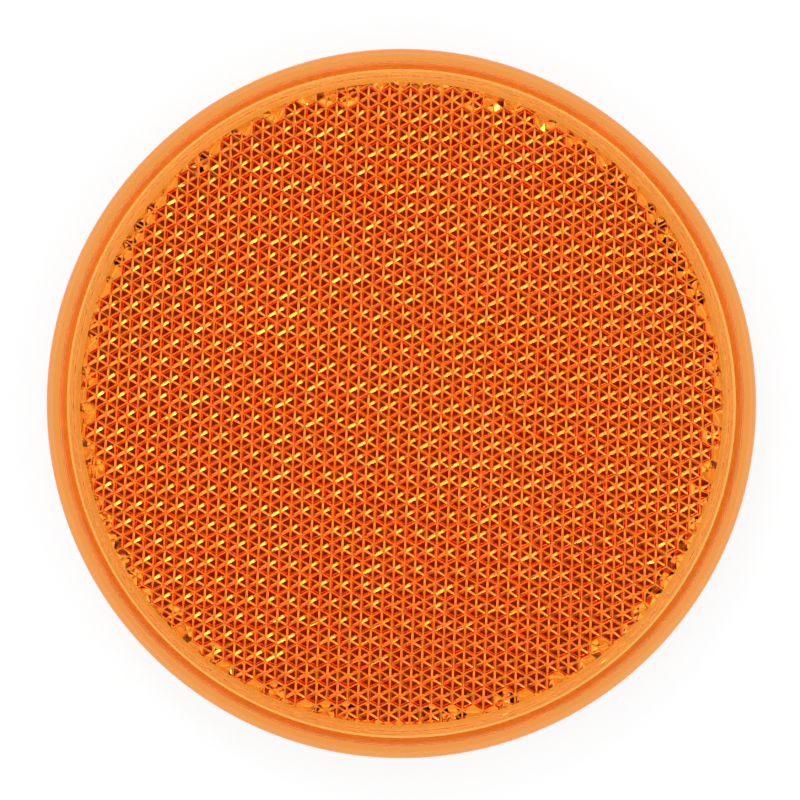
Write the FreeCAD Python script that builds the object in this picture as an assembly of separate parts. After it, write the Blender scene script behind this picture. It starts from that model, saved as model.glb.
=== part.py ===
import FreeCAD, Part
import math
import os
from BOPTools import SplitAPI

# Round stick-on reflector that lies on its adhesive back, face up.
# Z runs out of the front face, and the origin is the centre of the adhesive face.
# All sizes are in millimetres, angles in degrees.

Vector = FreeCAD.Vector

# Lens outside, from the skirt inwards: a drafted skirt, a flange, a shoulder and a raised flat face
LENS_DIAMETER = 81.0
SKIRT_DRAFT = 1.0
FLANGE_WIDTH = 1.7
FLANGE_CHAMFER = 0.5
SHOULDER_WIDTH = 1.6
SHOULDER_STEP = 0.6
SHOULDER_CHAMFER = 0.3
FACE_STEP = 0.6
FACE_CHAMFER = 0.25
STEP_DRAFT = 8.0

# Lens inside: wall beside the plate, ledge under it, chamfer and land round the prisms, web behind the face
SKIRT_WALL = 1.6
LEDGE_WIDTH = 0.8
BORE_CHAMFER = 0.3
LAND_WIDTH = 1.2
WEB_THICKNESS = 2.2

# Corner-cube prisms: hexagonal cells, each with one corner of a cube as its tip
PRISM_PITCH = 2.386
PRISM_TURN = -2.0
PRISM_OFFSET_X = 0.99
PRISM_OFFSET_Y = -0.33
PLINTH_HEIGHT = 0.15
TIP_GAP = 0.5

# Back plate and adhesive pad
PLATE_THICKNESS = 1.6
PLATE_CHAMFER = 0.3
PLATE_CLEARANCE = 0.1
PAD_MARGIN = 3.8
PAD_THICKNESS = 1.0

# A cube that stands on its corner: each cell is one pitch across its flats
CELL_SIDE = PRISM_PITCH / math.sqrt(3)
PRISM_STEP = PRISM_PITCH / math.sqrt(6)
RIDGE_ANGLES = [PRISM_TURN + 30 + 120 * ridge for ridge in range(3)]

# Radii, from the skirt inwards
SKIRT_RADIUS = LENS_DIAMETER / 2
SHOULDER_RADIUS = SKIRT_RADIUS - FLANGE_WIDTH
FACE_RADIUS = SHOULDER_RADIUS - SHOULDER_WIDTH
REBATE_RADIUS = SKIRT_RADIUS - SKIRT_WALL
BORE_RADIUS = REBATE_RADIUS - LEDGE_WIDTH
LAND_RADIUS = BORE_RADIUS - BORE_CHAMFER
FIELD_RADIUS = LAND_RADIUS - LAND_WIDTH
PLATE_RADIUS = REBATE_RADIUS - PLATE_CLEARANCE
PAD_RADIUS = PLATE_RADIUS - PAD_MARGIN

# Levels, from the adhesive face up
PLATE_BACK = PAD_THICKNESS
PLATE_FRONT = PLATE_BACK + PLATE_THICKNESS
TIP_LEVEL = PLATE_FRONT + TIP_GAP
RIDGE_END_LEVEL = TIP_LEVEL + PRISM_STEP
VALLEY_LEVEL = RIDGE_END_LEVEL + PRISM_STEP
LAND_LEVEL = VALLEY_LEVEL + PLINTH_HEIGHT
FACE_LEVEL = LAND_LEVEL + WEB_THICKNESS
SHOULDER_LEVEL = FACE_LEVEL - FACE_STEP
FLANGE_LEVEL = SHOULDER_LEVEL - SHOULDER_STEP


def half_section(points):
    """Closed half section through points given as (radius, height)."""
    corners = [Vector(radius, 0, height) for radius, height in points]
    return Part.Face(Part.makePolygon(corners + corners[:1]))


def turned(points):
    """Solid of revolution about Z from the points of its half section."""
    return half_section(points).revolve(Vector(0, 0, 0), Vector(0, 0, 1), 360)


def lens_blank():
    """Lens without its prisms: face, shoulder, flange and skirt, with the rebate for the plate."""
    step_slope = math.tan(math.radians(STEP_DRAFT))
    face_foot = FACE_RADIUS + (FACE_STEP - FACE_CHAMFER) * step_slope
    shoulder_foot = SHOULDER_RADIUS + (SHOULDER_STEP - SHOULDER_CHAMFER) * step_slope
    skirt_height = FLANGE_LEVEL - FLANGE_CHAMFER - PLATE_BACK
    flange_radius = SKIRT_RADIUS - skirt_height * math.tan(math.radians(SKIRT_DRAFT))
    return turned([
        (0, LAND_LEVEL),
        (0, FACE_LEVEL),
        (FACE_RADIUS - FACE_CHAMFER, FACE_LEVEL),
        (FACE_RADIUS, FACE_LEVEL - FACE_CHAMFER),
        (face_foot, SHOULDER_LEVEL),
        (SHOULDER_RADIUS - SHOULDER_CHAMFER, SHOULDER_LEVEL),
        (SHOULDER_RADIUS, SHOULDER_LEVEL - SHOULDER_CHAMFER),
        (shoulder_foot, FLANGE_LEVEL),
        (flange_radius - FLANGE_CHAMFER, FLANGE_LEVEL),
        (flange_radius, FLANGE_LEVEL - FLANGE_CHAMFER),
        (SKIRT_RADIUS, PLATE_BACK),
        (REBATE_RADIUS, PLATE_BACK),
        (REBATE_RADIUS, PLATE_FRONT),
        (BORE_RADIUS, PLATE_FRONT),
        (BORE_RADIUS, LAND_LEVEL - BORE_CHAMFER),
        (LAND_RADIUS, LAND_LEVEL),
    ])


def cell_centres():
    """Centres of the hexagonal cells that reach into the circle of the field."""
    turn = math.radians(PRISM_TURN)
    row_pitch = PRISM_PITCH * math.sin(math.radians(60))
    reach = FIELD_RADIUS + CELL_SIDE
    last = math.ceil(2 * reach / PRISM_PITCH)
    centres = []
    for row in range(-last, last + 1):
        for column in range(-last, last + 1):
            along = (column + row / 2) * PRISM_PITCH
            across = row * row_pitch
            x = PRISM_OFFSET_X + along * math.cos(turn) - across * math.sin(turn)
            y = PRISM_OFFSET_Y + along * math.sin(turn) + across * math.cos(turn)
            if math.hypot(x, y) < reach:
                centres.append((x, y))
    return centres


def cell_corner(centre, angle, level):
    """Corner of a cell's hexagon, in the direction of the angle."""
    x = centre[0] + CELL_SIDE * math.cos(math.radians(angle))
    y = centre[1] + CELL_SIDE * math.sin(math.radians(angle))
    return Vector(x, y, level)


def cube_corner(centre):
    """Three square faces that meet at right angles at the tip of one cell."""
    tip = Vector(centre[0], centre[1], TIP_LEVEL)
    faces = []
    for angle in RIDGE_ANGLES:
        ridge_end = cell_corner(centre, angle, RIDGE_END_LEVEL)
        valley = cell_corner(centre, angle + 60, VALLEY_LEVEL)
        next_ridge_end = cell_corner(centre, angle + 120, RIDGE_END_LEVEL)
        outline = Part.makePolygon([tip, ridge_end, valley, next_ridge_end, tip])
        faces.append(Part.Face(outline))
    return faces


def prism_field():
    """Round plinth whose back is one continuous skin of cube corners, cut off by the field's circle."""
    faces = []
    for centre in cell_centres():
        faces.extend(cube_corner(centre))
    skin = Part.makeShell(faces)
    skin.sewShape()
    plug = Part.makeCylinder(FIELD_RADIUS, LAND_LEVEL - PLATE_FRONT, Vector(0, 0, PLATE_FRONT))
    halves = SplitAPI.slice(plug, [skin], "Split").Solids
    return max(halves, key=lambda half: half.BoundBox.ZMax)


def lens():
    """Amber lens: the turned blank with the prisms on the inner face of its web."""
    return lens_blank().fuse(prism_field()).Solids[0]


def back_plate():
    """Plate that closes the lens, flush with the end of the skirt."""
    return turned([
        (0, PLATE_BACK),
        (0, PLATE_FRONT),
        (PLATE_RADIUS, PLATE_FRONT),
        (PLATE_RADIUS, PLATE_BACK + PLATE_CHAMFER),
        (PLATE_RADIUS - PLATE_CHAMFER, PLATE_BACK),
    ])


def adhesive_pad():
    """Die-cut disc of double-sided foam tape on the back of the plate."""
    return Part.makeCylinder(PAD_RADIUS, PAD_THICKNESS)


os.makedirs("parts", exist_ok=True)
lens().exportStep("parts/lens.step")
back_plate().exportStep("parts/back_plate.step")
adhesive_pad().exportStep("parts/adhesive_pad.step")
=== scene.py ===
import math
import random

import bmesh
import bpy
from mathutils import Matrix, Vector


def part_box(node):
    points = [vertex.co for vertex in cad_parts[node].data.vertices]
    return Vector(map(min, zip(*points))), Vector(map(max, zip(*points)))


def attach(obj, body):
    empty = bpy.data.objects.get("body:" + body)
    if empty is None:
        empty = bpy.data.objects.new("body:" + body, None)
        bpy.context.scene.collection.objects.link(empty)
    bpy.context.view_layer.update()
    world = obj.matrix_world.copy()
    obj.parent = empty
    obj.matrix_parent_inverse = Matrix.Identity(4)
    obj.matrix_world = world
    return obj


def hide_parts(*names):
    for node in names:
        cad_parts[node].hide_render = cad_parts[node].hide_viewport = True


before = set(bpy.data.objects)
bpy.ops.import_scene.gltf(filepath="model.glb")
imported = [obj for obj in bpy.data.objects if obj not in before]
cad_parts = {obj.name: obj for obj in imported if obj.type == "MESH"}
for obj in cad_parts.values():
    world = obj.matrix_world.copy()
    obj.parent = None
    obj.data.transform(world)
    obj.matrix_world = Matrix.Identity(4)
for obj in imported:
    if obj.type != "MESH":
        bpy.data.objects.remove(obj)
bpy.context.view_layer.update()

# Sizes are in metres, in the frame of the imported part: face up, Z out of the front face.
MM = 0.001

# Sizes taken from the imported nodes
lens_low, lens_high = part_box("lens")
plate_low, plate_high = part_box("back_plate")
pad_low, pad_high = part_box("adhesive_pad")
SKIRT_RADIUS = (lens_high.x - lens_low.x) / 2
PAD_RADIUS = (pad_high.x - pad_low.x) / 2
FACE_LEVEL = lens_high.z
PLATE_BACK = plate_low.z
PLATE_FRONT = plate_high.z

# Lens section, from the skirt inwards
SKIRT_DRAFT = math.radians(1.0)
FLANGE_WIDTH = 1.7 * MM
SHOULDER_WIDTH = 1.6 * MM
SHOULDER_STEP = 0.6 * MM
FACE_STEP = 0.6 * MM
STEP_DRAFT = math.radians(8.0)
SKIRT_WALL = 1.6 * MM
LEDGE_WIDTH = 0.8 * MM
LEDGE_FILM = 0.03 * MM
BORE_CHAMFER = 0.3 * MM
LAND_WIDTH = 1.2 * MM
WEB_THICKNESS = 2.2 * MM

# Roundings of the lens section
FACE_ROUNDING = 0.35 * MM
SHOULDER_ROUNDING = 0.4 * MM
FLANGE_ROUNDING = 0.8 * MM
STEP_ROOT_ROUNDING = 0.15 * MM
SKIRT_END_ROUNDING = 0.2 * MM
ROUNDING_STEPS = 6
TURN_STEPS = 384

# Corner-cube prisms on the inner face of the lens
PITCH = 2.386 * MM
FIELD_TURN = math.radians(-2.0)
FIELD_OFFSET = Vector((0.99 * MM, -0.33 * MM))
PLINTH_HEIGHT = 0.15 * MM
PLINTH_ROOT = 0.3 * MM
FIELD_DRAFT = 0.6 * MM
RIDGE_ROUNDING = 0.18 * MM
VALLEY_ROUNDING = 0.17 * MM
ROUNDING_ANGLES = [math.radians(degrees) for degrees in (45, 22.5, 0)]
SHARP_ANGLE = math.radians(30)
WELD_DISTANCE = 0.0002 * MM

# Scatter of the prism corners, and how far each line across a face follows the corner it runs towards
CORNER_SCATTER = 0.007 * MM
SCATTER_SEED = 5
SAME_CORNER = 0.01 * MM
LINE_WEIGHTS = (0, 0.02, 0.05, 0.95, 0.98, 1)

# Flat on the first ridge of each cell: how far it reaches onto the two faces beside the ridge
FLAT_NEAR = 0.133 * MM
FLAT_FAR = 0.250 * MM
FLAT_MATCH = 0.997

# The cells stand in rhombic blocks, with their tips set a little up and down by turns
BLOCK_CELLS = 6
BLOCK_START = (9, 4)
BLOCK_SHIFT = 0.018 * MM

# Foam pad: small roundings of its die-cut edge, and how ragged the cut is
PAD_ROUNDING = 0.12 * MM
PAD_WAIST = 0.08 * MM
PAD_RAGGED = 0.04 * MM
PAD_STEPS = 240
PAD_SHARP_ANGLE = math.radians(40)
PAD_SEED = 11

# Radii and levels that follow from those
SHOULDER_RADIUS = SKIRT_RADIUS - FLANGE_WIDTH
FACE_RADIUS = SHOULDER_RADIUS - SHOULDER_WIDTH
REBATE_RADIUS = SKIRT_RADIUS - SKIRT_WALL
BORE_RADIUS = REBATE_RADIUS - LEDGE_WIDTH
LAND_RADIUS = BORE_RADIUS - BORE_CHAMFER
FIELD_RADIUS = LAND_RADIUS - LAND_WIDTH
SHOULDER_LEVEL = FACE_LEVEL - FACE_STEP
FLANGE_LEVEL = SHOULDER_LEVEL - SHOULDER_STEP
LAND_LEVEL = FACE_LEVEL - WEB_THICKNESS
CELL_SIDE = PITCH / math.sqrt(3)
PRISM_STEP = PITCH / math.sqrt(6)
CUBE_EDGE = PITCH / math.sqrt(2)
TIP_LEVEL = LAND_LEVEL - PLINTH_HEIGHT - 2 * PRISM_STEP

# Surround: brightness overhead, the height from which it fades to the horizon, and the dark opening above
SKY_LEVEL = 2.1
SKY_TURN = 0.7
HORIZON_SHARE = 0.3
OPENING_MIDDLE = math.radians(11.0)
OPENING_EDGE = math.radians(22.0)
OPENING_COLOUR = (0.22, 0.04, 0.02, 1)

# Lamp whose reflection in the flats gives the yellow strokes: its tilt is measured from straight above
LAMP_AZIMUTH = math.radians(111.5)
LAMP_TILT = math.radians(45.5)
LAMP_DISTANCE = 1.0
LAMP_WIDTH = 0.15
LAMP_HEIGHT = 0.25
LAMP_RADIANCE = 22

# Plain floor, a hair under the pad so that no two faces coincide, and its share of plain white
FLOOR_SIZE = 6
FLOOR_DROP = 0.02 * MM
FLOOR_WHITE = 0.85

# Camera straight above, a little off the axis
CAMERA_PLACE = (-0.16 * MM, 0.4 * MM, 0.45)
CAMERA_LENS = 175.6


def new_object(name, data):
    """Object with this mesh, light or camera, in the scene."""
    made = bpy.data.objects.new(name, data)
    bpy.context.scene.collection.objects.link(made)
    return made


def boolean(target, tool, operation):
    """Combines the tool into the target's mesh, and deletes the tool."""
    modifier = target.modifiers.new("combine", "BOOLEAN")
    modifier.object = tool
    modifier.operation = operation
    modifier.solver = "MANIFOLD"
    evaluated = target.evaluated_get(bpy.context.evaluated_depsgraph_get())
    combined = bpy.data.meshes.new_from_object(evaluated)
    target.modifiers.remove(modifier)
    old = target.data
    target.data = combined
    bpy.data.meshes.remove(old)
    bpy.data.objects.remove(tool)


def rounded(corners):
    """Outline through corners (radius, height, rounding), with arcs at the rounded corners."""
    outline = []
    for index, (radius, height, rounding) in enumerate(corners):
        corner = Vector((radius, height))
        if rounding == 0:
            outline.append(corner)
            continue
        before = Vector(corners[index - 1][:2]) - corner
        after = Vector(corners[(index + 1) % len(corners)][:2]) - corner
        half_angle = before.angle(after) / 2
        before.normalize()
        after.normalize()
        tangent = rounding / math.tan(half_angle)
        centre = corner + (before + after).normalized() * (rounding / math.sin(half_angle))
        start = corner + before * tangent - centre
        turn = start.angle_signed(corner + after * tangent - centre)
        for step in range(ROUNDING_STEPS + 1):
            turned = Matrix.Rotation(-turn * step / ROUNDING_STEPS, 2) @ start
            outline.append(centre + turned)
    return outline


def turned_mesh(name, outline):
    """Closed mesh of revolution about Z; the outline starts and ends on the axis."""
    shape = bmesh.new()
    rings = []
    for radius, height in outline:
        if radius == 0:
            rings.append([shape.verts.new((0, 0, height))])
            continue
        ring = []
        for step in range(TURN_STEPS):
            angle = 2 * math.pi * step / TURN_STEPS
            ring.append(shape.verts.new((radius * math.cos(angle), radius * math.sin(angle), height)))
        rings.append(ring)
    for lower, upper in zip(rings, rings[1:]):
        for step in range(TURN_STEPS):
            following = (step + 1) % TURN_STEPS
            corners = [lower[step % len(lower)], lower[following % len(lower)],
                       upper[following % len(upper)], upper[step % len(upper)]]
            shape.faces.new(list(dict.fromkeys(corners)))
    bmesh.ops.recalc_face_normals(shape, faces=shape.faces)
    mesh = bpy.data.meshes.new(name)
    shape.to_mesh(mesh)
    shape.free()
    return mesh


def lens_blank():
    """Lens without its prisms, with rounded edges."""
    face_foot = FACE_RADIUS + FACE_STEP * math.tan(STEP_DRAFT)
    shoulder_foot = SHOULDER_RADIUS + SHOULDER_STEP * math.tan(STEP_DRAFT)
    flange_radius = SKIRT_RADIUS - (FLANGE_LEVEL - PLATE_BACK) * math.tan(SKIRT_DRAFT)
    ledge_level = PLATE_FRONT + LEDGE_FILM
    outline = rounded([
        (0, FACE_LEVEL, 0),
        (FACE_RADIUS, FACE_LEVEL, FACE_ROUNDING),
        (face_foot, SHOULDER_LEVEL, STEP_ROOT_ROUNDING),
        (SHOULDER_RADIUS, SHOULDER_LEVEL, SHOULDER_ROUNDING),
        (shoulder_foot, FLANGE_LEVEL, STEP_ROOT_ROUNDING),
        (flange_radius, FLANGE_LEVEL, FLANGE_ROUNDING),
        (SKIRT_RADIUS, PLATE_BACK, SKIRT_END_ROUNDING),
        (REBATE_RADIUS, PLATE_BACK, 0),
        (REBATE_RADIUS, ledge_level, 0),
        (BORE_RADIUS, ledge_level, 0),
        (BORE_RADIUS, LAND_LEVEL - BORE_CHAMFER, 0),
        (LAND_RADIUS, LAND_LEVEL, 0),
        (0, LAND_LEVEL, 0),
    ])
    return new_object("lens_glass", turned_mesh("lens_glass", outline))


def cells():
    """Centres and block shifts of the hexagonal cells that reach into the circle of the field."""
    reach = FIELD_RADIUS + CELL_SIDE
    last = math.ceil(2 * reach / PITCH)
    turn = Matrix.Rotation(FIELD_TURN, 2)
    found = []
    for row in range(-last, last + 1):
        for column in range(-last, last + 1):
            place = Vector(((column + row / 2) * PITCH, row * PITCH * math.sin(math.radians(60))))
            centre = FIELD_OFFSET + turn @ place
            block = (row + column - BLOCK_START[0]) // BLOCK_CELLS + (-column - BLOCK_START[1]) // BLOCK_CELLS
            if centre.length < reach:
                found.append((centre, BLOCK_SHIFT if block % 2 == 0 else -BLOCK_SHIFT))
    return found


class Scatter:
    """Small seeded shift of each corner of the prism skin, the same for all faces that share it."""

    def __init__(self):
        self.numbers = random.Random(SCATTER_SEED)
        self.shifts = {}

    def at(self, corner):
        key = tuple(round(value / SAME_CORNER) for value in corner)
        if key not in self.shifts:
            self.shifts[key] = Vector([self.numbers.gauss(0, CORNER_SCATTER) for _ in range(3)])
        return self.shifts[key]


def fillet_lines():
    """Lines across a square face: (distance from the ridge, rise of the rounding, angle, kind)."""
    lines = []
    for angle in ROUNDING_ANGLES:
        along = RIDGE_ROUNDING * (1 - math.sin(angle))
        lines.append((along, RIDGE_ROUNDING * (1 - math.cos(angle)), angle, "ridge"))
    for angle in reversed(ROUNDING_ANGLES):
        along = CUBE_EDGE - VALLEY_ROUNDING * (1 - math.sin(angle))
        lines.append((along, -VALLEY_ROUNDING * (1 - math.cos(angle)), angle, "valley"))
    return lines


def square_face(tip, first, second, third):
    """Grid of points on one square face from the tip, with its ridges and valleys rounded.

    first and second run along the two ridges of the face, third along the ridge behind it.
    """
    lines = fillet_lines()
    grid = {}
    for i, (along, rise_i, angle_i, kind_i) in enumerate(lines):
        for j, (across, rise_j, angle_j, kind_j) in enumerate(lines):
            point = tip + first * along + second * across + third * (rise_i + rise_j)
            if kind_i == kind_j:
                outward = -third - first * math.tan(angle_i) - second * math.tan(angle_j)
                outward.normalize()
                if kind_i == "ridge":
                    centre = tip + (first + second + third) * RIDGE_ROUNDING
                    point = centre + outward * RIDGE_ROUNDING
                else:
                    valley = tip + (first + second) * CUBE_EDGE
                    centre = valley - (first + second + third) * VALLEY_ROUNDING
                    point = centre - outward * VALLEY_ROUNDING
            grid[i, j] = point
    return grid


def flatten_ridge(grid, tip, edges, side):
    """Puts a flat in place of the rounding of the cell's first ridge, wider on one of its faces."""
    if side == 1:
        return
    near = edges[1] * FLAT_NEAR
    far = edges[2] * FLAT_FAR
    middle = (near + far) / 2
    end = near if side == 0 else far
    lines = fillet_lines()
    for line in (2, 3):
        along = tip + edges[0] * lines[line][0]
        for step in range(3):
            place = (line, step) if side == 0 else (step, line)
            grid[place] = along + middle.lerp(end, step / 2)


def blend_corners(grid, tip, first, second):
    """Blends the roundings where the ridges of a square face run into its valleys."""
    last = max(grid)[0]
    saddle(grid, tip + second * CUBE_EDGE, (2, 1, 0), (last - 2, last - 1, last))
    saddle(grid, tip + first * CUBE_EDGE, (last - 2, last - 1, last), (2, 1, 0))


def saddle(grid, vertex, columns, rows):
    """Fades a ridge and a valley rounding into the corner where they meet: a Coons patch of the grid."""
    steps = len(columns) - 1
    corner = grid[columns[0], rows[0]]
    ridge_end = grid[columns[-1], rows[0]]
    valley_end = grid[columns[0], rows[-1]]
    for i, column in enumerate(columns):
        for j, row in enumerate(rows):
            if i == 0 or j == 0:
                continue
            u = i / steps
            v = j / steps
            along = grid[column, rows[0]] * (1 - v) + valley_end.lerp(vertex, u) * v
            across = grid[columns[0], row] * (1 - u) + ridge_end.lerp(vertex, v) * u
            plane = corner.lerp(ridge_end, u).lerp(valley_end.lerp(vertex, u), v)
            grid[column, row] = along + across - plane


def ridge_directions():
    """Unit vectors along the three ridges of a cell, from its tip."""
    slope = math.atan(math.sqrt(0.5))
    found = []
    for ridge in range(3):
        angle = FIELD_TURN + math.radians(30 + 120 * ridge)
        flat = Vector((math.cos(angle), math.sin(angle), 0)) * math.cos(slope)
        found.append(flat + Vector((0, 0, math.sin(slope))))
    return found


def prism_skin():
    """Continuous skin of cube corners with rounded edges, larger than the field."""
    scatter = Scatter()
    shape = bmesh.new()
    edges = ridge_directions()
    for centre, shift in cells():
        tip = Vector((centre.x, centre.y, TIP_LEVEL))
        scatter.at(tip).y += shift
        for side in range(3):
            first, second, third = edges[side], edges[(side + 1) % 3], edges[(side + 2) % 3]
            grid = square_face(tip, first, second, third)
            flatten_ridge(grid, tip, edges, side)
            blend_corners(grid, tip, first, second)
            add_face(shape, grid, tip, first * CUBE_EDGE, second * CUBE_EDGE, scatter)
    bmesh.ops.remove_doubles(shape, verts=shape.verts, dist=WELD_DISTANCE)
    return shape


def add_face(shape, grid, tip, first, second, scatter):
    """Adds the quads of one square face, with its corners shifted by the scatter."""
    last = max(grid)[0]
    corners = (tip, tip + first, tip + second, tip + first + second)
    shifts = [scatter.at(corner) for corner in corners]
    verts = {}
    for (i, j), point in grid.items():
        u = LINE_WEIGHTS[i]
        v = LINE_WEIGHTS[j]
        shift = shifts[0].lerp(shifts[1], u).lerp(shifts[2].lerp(shifts[3], u), v)
        verts[i, j] = shape.verts.new(point + shift)
    for i in range(last):
        for j in range(last):
            shape.faces.new((verts[i, j], verts[i, j + 1], verts[i + 1, j + 1], verts[i + 1, j]))


def prism_block():
    """Round plinth with the prism skin as its back, cut off by the circle of the field."""
    shape = prism_skin()
    rim = [edge for edge in shape.edges if len(edge.link_faces) == 1]
    raised = bmesh.ops.extrude_edge_only(shape, edges=rim)["geom"]
    top = [item for item in raised if isinstance(item, bmesh.types.BMVert)]
    for vert in top:
        vert.co.z = LAND_LEVEL + PLINTH_ROOT
    top_edges = [edge for edge in shape.edges if len(edge.link_faces) == 1]
    bmesh.ops.holes_fill(shape, edges=top_edges)
    bmesh.ops.recalc_face_normals(shape, faces=shape.faces)
    mesh = bpy.data.meshes.new("prism_block")
    shape.to_mesh(mesh)
    shape.free()
    block = new_object("prism_block", mesh)
    plug_outline = [
        Vector((0, LAND_LEVEL + PLINTH_ROOT / 2)),
        Vector((FIELD_RADIUS, LAND_LEVEL + PLINTH_ROOT / 2)),
        Vector((FIELD_RADIUS - FIELD_DRAFT, PLATE_FRONT)),
        Vector((0, PLATE_FRONT)),
    ]
    plug = new_object("plug", turned_mesh("plug", plug_outline))
    boolean(block, plug, "INTERSECT")
    return block


def sharpen_flats(mesh):
    """Marks the edges round the flats on the ridges as sharp."""
    edges = ridge_directions()
    outward = -(edges[1] * FLAT_FAR + edges[2] * FLAT_NEAR).normalized()
    shape = bmesh.new()
    shape.from_mesh(mesh)
    for edge in shape.edges:
        on_flat = [face.normal.dot(outward) > FLAT_MATCH for face in edge.link_faces]
        if any(on_flat) and not all(on_flat):
            edge.smooth = False
    shape.to_mesh(mesh)
    shape.free()


def build_lens():
    """Amber lens: the turned blank joined with the block of prisms."""
    lens = lens_blank()
    boolean(lens, prism_block(), "UNION")
    mesh = lens.data
    mesh.shade_smooth()
    mesh.set_sharp_from_angle(angle=SHARP_ANGLE)
    sharpen_flats(mesh)
    weighted = lens.modifiers.new("flat faces stay flat", "WEIGHTED_NORMAL")
    weighted.weight = 100
    weighted.keep_sharp = True
    return lens


def build_pad():
    """Die-cut disc of foam tape: flat on both faces, with a ragged edge that pulls in at its waist."""
    low = pad_low.z
    high = pad_high.z
    edge = PAD_RADIUS - PAD_RAGGED
    profile = [
        (edge * 0.5, low),
        (edge - 3 * PAD_ROUNDING, low),
        (edge - PAD_ROUNDING, low),
        (edge, low + PAD_ROUNDING),
        (edge - PAD_WAIST * 0.7, low * 0.7 + high * 0.3),
        (edge - PAD_WAIST, (low + high) / 2),
        (edge - PAD_WAIST * 0.7, low * 0.3 + high * 0.7),
        (edge, high - PAD_ROUNDING),
        (edge - PAD_ROUNDING, high),
        (edge * 0.5, high),
    ]
    numbers = random.Random(PAD_SEED)
    shape = bmesh.new()
    rings = []
    for radius, height in profile:
        ring = []
        for step in range(PAD_STEPS):
            angle = 2 * math.pi * step / PAD_STEPS
            ragged = numbers.uniform(-PAD_RAGGED, PAD_RAGGED) if low < height < high else 0
            reach = radius + ragged
            ring.append(shape.verts.new((reach * math.cos(angle), reach * math.sin(angle), height)))
        rings.append(ring)
    for lower, upper in zip(rings, rings[1:]):
        for step in range(PAD_STEPS):
            following = (step + 1) % PAD_STEPS
            shape.faces.new((lower[step], lower[following], upper[following], upper[step]))
    for ring, height in ((rings[0], low), (rings[-1], high)):
        middle = shape.verts.new((0, 0, height))
        for step in range(PAD_STEPS):
            shape.faces.new((ring[step], ring[(step + 1) % PAD_STEPS], middle))
    bmesh.ops.recalc_face_normals(shape, faces=shape.faces)
    mesh = bpy.data.meshes.new("foam_pad")
    shape.to_mesh(mesh)
    shape.free()
    mesh.shade_smooth()
    mesh.set_sharp_from_angle(angle=PAD_SHARP_ANGLE)
    return new_object("foam_pad", mesh)


def shader(name):
    """New node material with its principled shader and its output."""
    material = bpy.data.materials.new(name)
    material.use_nodes = True
    nodes = material.node_tree.nodes
    return material, nodes, material.node_tree.links, nodes["Principled BSDF"], nodes["Material Output"]


def mottle(nodes, links, target, scale, dark, light):
    """Cloudy variation between two colours, by place on the piece, into a colour socket."""
    place = nodes.new("ShaderNodeTexCoord")
    cloud = nodes.new("ShaderNodeTexNoise")
    cloud.inputs["Scale"].default_value = scale
    cloud.inputs["Detail"].default_value = 3
    links.new(place.outputs["Object"], cloud.inputs["Vector"])
    ramp = nodes.new("ShaderNodeValToRGB")
    ramp.color_ramp.elements[0].position = 0.35
    ramp.color_ramp.elements[1].position = 0.65
    ramp.color_ramp.elements[0].color = dark
    ramp.color_ramp.elements[1].color = light
    links.new(cloud.outputs["Fac"], ramp.inputs["Fac"])
    links.new(ramp.outputs["Color"], target)
    return place


def amber_acrylic():
    """Clear amber acrylic: polished skin with faint flow marks, colour from absorption in its depth."""
    material, nodes, links, skin, output = shader("amber_acrylic")
    mottle(nodes, links, skin.inputs["Base Color"], 45, (1, 0.90, 0.49, 1), (1, 0.94, 0.55, 1))
    skin.inputs["Transmission Weight"].default_value = 1
    skin.inputs["IOR"].default_value = 1.49
    skin.inputs["Roughness"].default_value = 0
    depth = nodes.new("ShaderNodeVolumeAbsorption")
    depth.inputs["Color"].default_value = (0.996, 0.528, 0.028, 1)
    depth.inputs["Density"].default_value = 360
    links.new(depth.outputs["Volume"], output.inputs["Volume"])
    return material


def plate_plastic():
    """Matt white plastic of the back plate."""
    material, nodes, links, skin, output = shader("plate_plastic")
    place = mottle(nodes, links, skin.inputs["Base Color"], 160, (0.92, 0.92, 0.9, 1), (0.96, 0.96, 0.95, 1))
    skin.inputs["Roughness"].default_value = 0.3
    grain = nodes.new("ShaderNodeTexNoise")
    grain.inputs["Scale"].default_value = 9000
    grain.inputs["Detail"].default_value = 2
    links.new(place.outputs["Object"], grain.inputs["Vector"])
    bump = nodes.new("ShaderNodeBump")
    bump.inputs["Strength"].default_value = 0.25
    bump.inputs["Distance"].default_value = 0.02 * MM
    links.new(grain.outputs["Fac"], bump.inputs["Height"])
    links.new(bump.outputs["Normal"], skin.inputs["Normal"])
    return material


def foam_tape():
    """Closed-cell foam of the adhesive pad: matt, with fine pores."""
    material, nodes, links, skin, output = shader("foam_tape")
    place = mottle(nodes, links, skin.inputs["Base Color"], 900, (0.62, 0.62, 0.6, 1), (0.74, 0.74, 0.72, 1))
    skin.inputs["Roughness"].default_value = 0.75
    pores = nodes.new("ShaderNodeTexVoronoi")
    pores.inputs["Scale"].default_value = 4500
    links.new(place.outputs["Object"], pores.inputs["Vector"])
    bump = nodes.new("ShaderNodeBump")
    bump.inputs["Strength"].default_value = 0.6
    bump.inputs["Distance"].default_value = 0.06 * MM
    links.new(pores.outputs["Distance"], bump.inputs["Height"])
    links.new(bump.outputs["Normal"], skin.inputs["Normal"])
    return material


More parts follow.
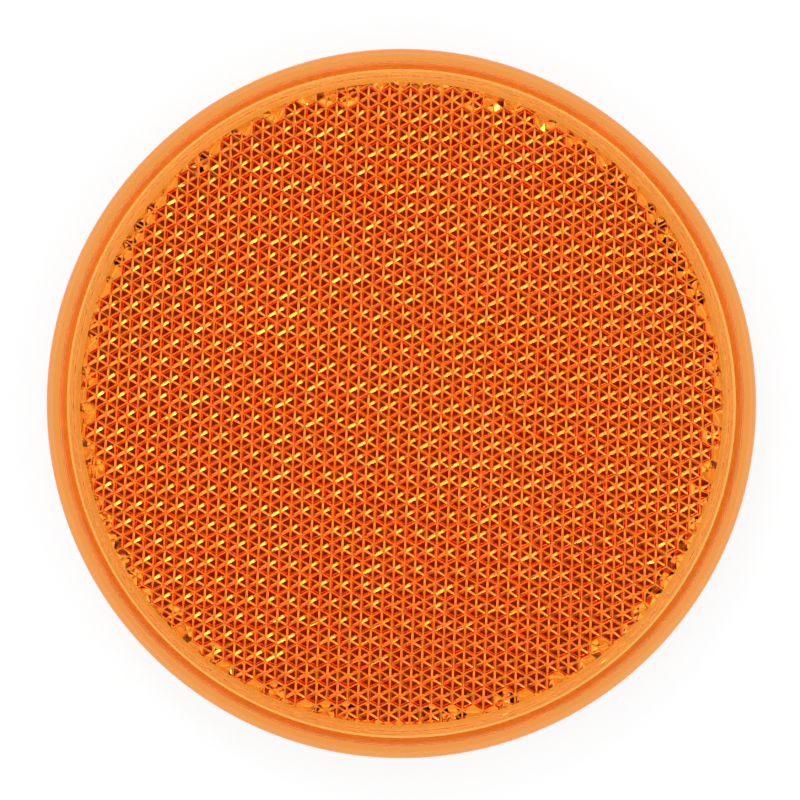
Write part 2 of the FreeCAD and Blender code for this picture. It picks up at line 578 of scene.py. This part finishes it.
def floor_material():
    """Pale floor that takes the part's shadow and looks plain white to the camera and through the lens."""
    material, nodes, links, skin, output = shader("floor")
    skin.inputs["Base Color"].default_value = (0.6, 0.6, 0.6, 1)
    skin.inputs["Roughness"].default_value = 0.8
    path = nodes.new("ShaderNodeLightPath")
    seen = nodes.new("ShaderNodeMath")
    seen.operation = "MAXIMUM"
    links.new(path.outputs["Is Camera Ray"], seen.inputs[0])
    links.new(path.outputs["Is Transmission Ray"], seen.inputs[1])
    mirrored = nodes.new("ShaderNodeMath")
    mirrored.operation = "MAXIMUM"
    links.new(seen.outputs[0], mirrored.inputs[0])
    links.new(path.outputs["Is Glossy Ray"], mirrored.inputs[1])
    share = nodes.new("ShaderNodeMath")
    share.operation = "MULTIPLY"
    links.new(mirrored.outputs[0], share.inputs[0])
    share.inputs[1].default_value = FLOOR_WHITE
    glow = nodes.new("ShaderNodeEmission")
    blend = nodes.new("ShaderNodeMixShader")
    links.new(share.outputs[0], blend.inputs[0])
    links.new(skin.outputs["BSDF"], blend.inputs[1])
    links.new(glow.outputs["Emission"], blend.inputs[2])
    links.new(blend.outputs["Shader"], output.inputs["Surface"])
    return material


def build_floor():
    """Large plain floor under the part."""
    bpy.ops.mesh.primitive_plane_add(size=FLOOR_SIZE, location=(0, 0, pad_low.z - FLOOR_DROP))
    floor = bpy.context.object
    floor.name = "floor"
    floor.data.materials.append(floor_material())


def build_world():
    """Bright surround, dark straight above; mirror reflections show it at the strength of plain white."""
    world = bpy.data.worlds.new("surround")
    bpy.context.scene.world = world
    world.use_nodes = True
    nodes = world.node_tree.nodes
    links = world.node_tree.links
    background = nodes["Background"]
    place = nodes.new("ShaderNodeTexCoord")
    split = nodes.new("ShaderNodeSeparateXYZ")
    links.new(place.outputs["Generated"], split.inputs[0])
    opening = nodes.new("ShaderNodeMapRange")
    opening.interpolation_type = "SMOOTHSTEP"
    opening.inputs["From Min"].default_value = math.cos(OPENING_EDGE)
    opening.inputs["From Max"].default_value = math.cos(OPENING_MIDDLE)
    opening.inputs["To Min"].default_value = 0
    opening.inputs["To Max"].default_value = 1
    links.new(split.outputs["Z"], opening.inputs["Value"])
    colour = nodes.new("ShaderNodeMix")
    colour.data_type = "RGBA"
    links.new(opening.outputs["Result"], colour.inputs["Factor"])
    colour.inputs["A"].default_value = (SKY_LEVEL, SKY_LEVEL, SKY_LEVEL, 1)
    colour.inputs["B"].default_value = OPENING_COLOUR
    links.new(colour.outputs["Result"], background.inputs["Color"])
    height = nodes.new("ShaderNodeMapRange")
    height.inputs["From Min"].default_value = 0
    height.inputs["From Max"].default_value = SKY_TURN
    height.inputs["To Min"].default_value = HORIZON_SHARE
    height.inputs["To Max"].default_value = 1
    links.new(split.outputs["Z"], height.inputs["Value"])
    path = nodes.new("ShaderNodeLightPath")
    mirrored = nodes.new("ShaderNodeMath")
    mirrored.operation = "SUBTRACT"
    mirrored.use_clamp = True
    links.new(path.outputs["Is Glossy Ray"], mirrored.inputs[0])
    links.new(path.outputs["Is Transmission Ray"], mirrored.inputs[1])
    plain = nodes.new("ShaderNodeMath")
    plain.operation = "MULTIPLY_ADD"
    links.new(mirrored.outputs[0], plain.inputs[0])
    plain.inputs[1].default_value = 1 / SKY_LEVEL - 1
    plain.inputs[2].default_value = 1
    strength = nodes.new("ShaderNodeMath")
    strength.operation = "MULTIPLY"
    links.new(height.outputs["Result"], strength.inputs[0])
    links.new(plain.outputs[0], strength.inputs[1])
    links.new(strength.outputs[0], background.inputs["Strength"])


def build_lamp():
    """Soft box that faces the part, hidden from mirror reflections so that the flat face stays plain."""
    light = bpy.data.lights.new("lamp", "AREA")
    light.shape = "RECTANGLE"
    light.size = LAMP_WIDTH
    light.size_y = LAMP_HEIGHT
    light.energy = LAMP_RADIANCE * math.pi * LAMP_WIDTH * LAMP_HEIGHT
    box = new_object("lamp", light)
    aside = math.sin(LAMP_TILT)
    away = Vector((aside * math.cos(LAMP_AZIMUTH), aside * math.sin(LAMP_AZIMUTH), math.cos(LAMP_TILT)))
    box.visible_camera = False
    box.visible_glossy = False
    box.location = away * LAMP_DISTANCE
    box.rotation_euler = (-away).to_track_quat("-Z", "Y").to_euler()


def build_camera():
    """Camera straight above the face, with the top of the photograph towards +Y."""
    data = bpy.data.cameras.new("camera")
    data.sensor_width = 36
    data.lens = CAMERA_LENS
    camera = new_object("camera", data)
    camera.location = CAMERA_PLACE
    bpy.context.scene.camera = camera


lens = build_lens()
lens.data.materials.clear()
lens.data.materials.append(amber_acrylic())
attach(lens, "root")
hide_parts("lens")

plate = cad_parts["back_plate"]
plate.data.materials.clear()
plate.data.materials.append(plate_plastic())

pad = build_pad()
pad.data.materials.append(foam_tape())
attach(pad, "root")
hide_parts("adhesive_pad")

build_floor()
build_world()
build_lamp()
build_camera()
bpy.context.scene.view_settings.view_transform = "Standard"
